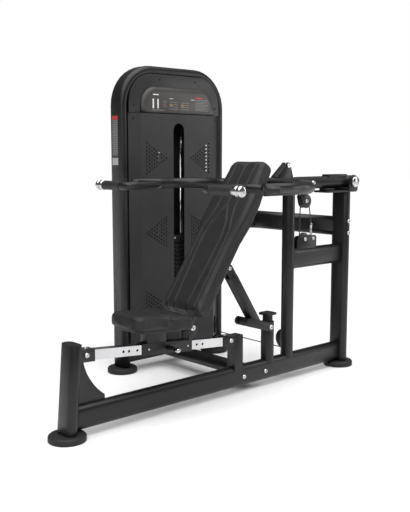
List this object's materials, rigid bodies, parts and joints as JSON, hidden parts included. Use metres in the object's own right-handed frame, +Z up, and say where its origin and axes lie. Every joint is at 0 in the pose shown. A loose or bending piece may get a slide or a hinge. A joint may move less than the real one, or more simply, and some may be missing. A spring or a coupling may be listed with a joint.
{
  "type": "multi press weight machine",
  "caption": "Selectorised multi-press gym machine: weight tower, lever press arm with C handles, sliding seat and linked reclining back pad",
  "frame": {"origin": "middle of the footprint, on the floor", "axes": "+X runs from the seat end to the press arm pivot, the object's length, +Y from the seat to the weight tower, +Z up"},
  "size_m": [1.8162, 1.1896, 1.5306],
  "materials": {
    "adjuster_housing": "smooth plastic",
    "adjuster_pin": "polished chrome plate",
    "adjuster_strip": "polished chrome plate",
    "arm_pulley": "fine textured plastic",
    "arm_pulley_hanger": "satin black powder coat",
    "arm_stop_block": "moulded rubber",
    "back_frame": "satin black powder coat",
    "back_pad": "grained black upholstery",
    "back_strut": "satin black powder coat",
    "cable_arm": "nylon coated steel cable",
    "cable_long": "nylon coated steel cable",
    "cable_stack": "nylon coated steel cable",
    "carriage": "satin black powder coat",
    "crossbar": "satin black powder coat",
    "crossbar_pulley": "fine textured plastic",
    "exit_pulley": "fine textured plastic",
    "floor_connector": "satin black powder coat",
    "foot_front": "moulded rubber",
    "foot_rear": "moulded rubber",
    "foot_tower_left": "moulded rubber",
    "foot_tower_right": "moulded rubber",
    "front_post": "satin black powder coat",
    "grip_end_left": "polished chrome plate",
    "grip_end_right": "polished chrome plate",
    "grip_left": "moulded rubber",
    "grip_right": "moulded rubber",
    "guide_rod_left": "polished chrome plate",
    "guide_rod_right": "polished chrome plate",
    "handle_left": "satin black powder coat",
    "handle_right": "satin black powder coat",
    "header_panel": "fine textured plastic",
    "lever_arm": "satin black powder coat",
    "lever_horn": "satin black powder coat",
    "lower_pulley": "fine textured plastic",
    "main_beam": "satin black powder coat",
    "mid_upright": "satin black powder coat",
    "pedestal_bumper": "moulded rubber",
    "pivot_bracket": "satin black powder coat",
    "pivot_shaft": "polished chrome plate",
    "placard": "fine textured plastic",
    "rail_rear_post": "satin black powder coat",
    "rear_column": "satin black powder coat",
    "rod_top_bar": "satin black powder coat",
    "seat_pad": "grained black upholstery",
    "seat_pin": "polished chrome plate",
    "selector_pin": "polished chrome plate",
    "slide_rail": "polished chrome plate",
    "stack_head": "painted cast iron",
    "stack_plates_lifted": "painted cast iron",
    "stack_plates_resting": "painted cast iron",
    "strut_pedestal": "satin black powder coat",
    "top_pulley_left": "fine textured plastic",
    "top_pulley_right": "fine textured plastic",
    "tower_base": "satin black powder coat",
    "tower_frame": "satin black powder coat",
    "tower_front_cover": "fine textured plastic",
    "tower_rear_cover": "fine textured plastic",
    "upper_connector": "satin black powder coat",
    "upright_bumper": "moulded rubber",
    "yoke": "satin black powder coat"
  },
  "bodies": {
    "frame": {"arm_stop_block": "arm_stop_block", "cable_arm": "cable_arm", "cable_long": "cable_long", "cable_stack": "cable_stack", "crossbar": "crossbar", "floor_connector": "floor_connector", "foot_front": "foot_front", "foot_rear": "foot_rear", "foot_tower_left": "foot_tower_left", "foot_tower_right": "foot_tower_right", "front_post": "front_post", "guide_rod_left": "guide_rod_left", "guide_rod_right": "guide_rod_right", "header_panel": "header_panel", "main_beam": "main_beam", "mid_upright": "mid_upright", "pedestal_bumper": "pedestal_bumper", "pivot_bracket": "pivot_bracket", "pivot_shaft": "pivot_shaft", "placard": "placard", "rail_rear_post": "rail_rear_post", "rear_column": "rear_column", "rod_top_bar": "rod_top_bar", "slide_rail": "slide_rail", "stack_plates_resting": "stack_plates_resting", "strut_pedestal": "strut_pedestal", "tower_base": "tower_base", "tower_frame": "tower_frame", "tower_front_cover": "tower_front_cover", "tower_rear_cover": "tower_rear_cover", "upper_connector": "upper_connector", "upright_bumper": "upright_bumper"},
    "press_arm": {"lever_arm": "lever_arm", "lever_horn": "lever_horn", "adjuster_housing": "adjuster_housing", "yoke": "yoke", "handle_left": "handle_left", "handle_right": "handle_right", "grip_left": "grip_left", "grip_right": "grip_right", "grip_end_left": "grip_end_left", "grip_end_right": "grip_end_right"},
    "adjuster_pin_body": {"adjuster_pin": "adjuster_pin"},
    "adjuster_body": {"adjuster_strip": "adjuster_strip", "arm_pulley_hanger": "arm_pulley_hanger"},
    "arm_pulley_body": {"arm_pulley": "arm_pulley"},
    "crossbar_pulley_body": {"crossbar_pulley": "crossbar_pulley"},
    "lower_pulley_body": {"lower_pulley": "lower_pulley"},
    "exit_pulley_body": {"exit_pulley": "exit_pulley"},
    "top_pulley_left_body": {"top_pulley_left": "top_pulley_left"},
    "top_pulley_right_body": {"top_pulley_right": "top_pulley_right"},
    "stack_body": {"stack_head": "stack_head", "stack_plates_lifted": "stack_plates_lifted"},
    "selector_pin_body": {"selector_pin": "selector_pin"},
    "seat_body": {"carriage": "carriage", "seat_pad": "seat_pad"},
    "seat_pin_body": {"seat_pin": "seat_pin"},
    "back_body": {"back_frame": "back_frame", "back_pad": "back_pad"},
    "strut_body": {"back_strut": "back_strut"}
  },
  "joints": [
    {"name": "arm_lift", "type": "hinge", "parent": "frame", "child": "press_arm", "pos_m": [0.856, -0.13, 0.958], "axis": [0, 1, 0], "range_deg": [0, 50], "deforming": ["cable_arm"]},
    {"name": "stack_lift", "type": "slide", "parent": "frame", "child": "stack_body", "axis": [0, 0, 1], "range_m": [0, 0.5435], "deforming": ["cable_stack"]},
    {"name": "selector_pull", "type": "slide", "parent": "stack_body", "child": "selector_pin_body", "axis": [0, -1, 0], "range_m": [0, 0.033]},
    {"name": "adjuster_slide", "type": "slide", "parent": "press_arm", "child": "adjuster_body", "axis": [0.613, 0, -0.7901], "range_m": [0, 0.057]},
    {"name": "adjuster_pull", "type": "slide", "parent": "press_arm", "child": "adjuster_pin_body", "axis": [0, -1, 0], "range_m": [0, 0.01], "stiffness_N_per_m": 400},
    {"name": "seat_slide", "type": "slide", "parent": "frame", "child": "seat_body", "axis": [0.9961, 0, -0.0884], "range_m": [0, 0.11]},
    {"name": "seat_pin_pull", "type": "slide", "parent": "seat_body", "child": "seat_pin_body", "axis": [0, -1, 0], "range_m": [0, 0.01], "stiffness_N_per_m": 400},
    {"name": "back_tilt", "type": "hinge", "parent": "seat_body", "child": "back_body", "pos_m": [-0.212, -0.13, 0.355], "axis": [0, -1, 0], "range_deg": [0, 14]},
    {"name": "strut_swing", "type": "hinge", "parent": "frame", "child": "strut_body", "pos_m": [0.271, -0.13, 0.288], "axis": [0, -1, 0], "range_deg": [-10, 0]},
    {"name": "arm_pulley_spin", "type": "hinge", "parent": "adjuster_body", "child": "arm_pulley_body", "pos_m": [0.544, -0.13, 0.869], "axis": [0, 1, 0], "continuous": true},
    {"name": "crossbar_pulley_spin", "type": "hinge", "parent": "frame", "child": "crossbar_pulley_body", "pos_m": [0.538, -0.13, 0.683], "axis": [0, 1, 0], "continuous": true},
    {"name": "lower_pulley_spin", "type": "hinge", "parent": "frame", "child": "lower_pulley_body", "pos_m": [0.482, -0.064, 0.181], "axis": [1, 0, 0], "continuous": true},
    {"name": "exit_pulley_spin", "type": "hinge", "parent": "frame", "child": "exit_pulley_body", "pos_m": [0.494, 0.483, 0.168], "axis": [1, 0, 0], "continuous": true},
    {"name": "top_pulley_left_spin", "type": "hinge", "parent": "frame", "child": "top_pulley_left_body", "pos_m": [0.274, 0.52, 1.372], "axis": [0, 1, 0], "continuous": true},
    {"name": "top_pulley_right_spin", "type": "hinge", "parent": "frame", "child": "top_pulley_right_body", "pos_m": [0.449, 0.52, 1.372], "axis": [0, 1, 0], "continuous": true}
  ],
  "couplings": [
    {"joint": "stack_lift", "follows": "arm_lift", "m_per_rad": 0.622},
    {"joint": "arm_pulley_spin", "follows": "arm_lift", "ratio": 9.4},
    {"joint": "crossbar_pulley_spin", "follows": "arm_lift", "ratio": 20.9},
    {"joint": "lower_pulley_spin", "follows": "arm_lift", "ratio": -13.4},
    {"joint": "exit_pulley_spin", "follows": "arm_lift", "ratio": -18.3},
    {"joint": "top_pulley_left_spin", "follows": "arm_lift", "ratio": 13.9},
    {"joint": "top_pulley_right_spin", "follows": "arm_lift", "ratio": 13.9},
    {"joint": "back_tilt", "follows": "seat_slide", "rad_per_m": 2.1026},
    {"joint": "strut_swing", "follows": "seat_slide", "rad_per_m": -1.4627}
  ]
}
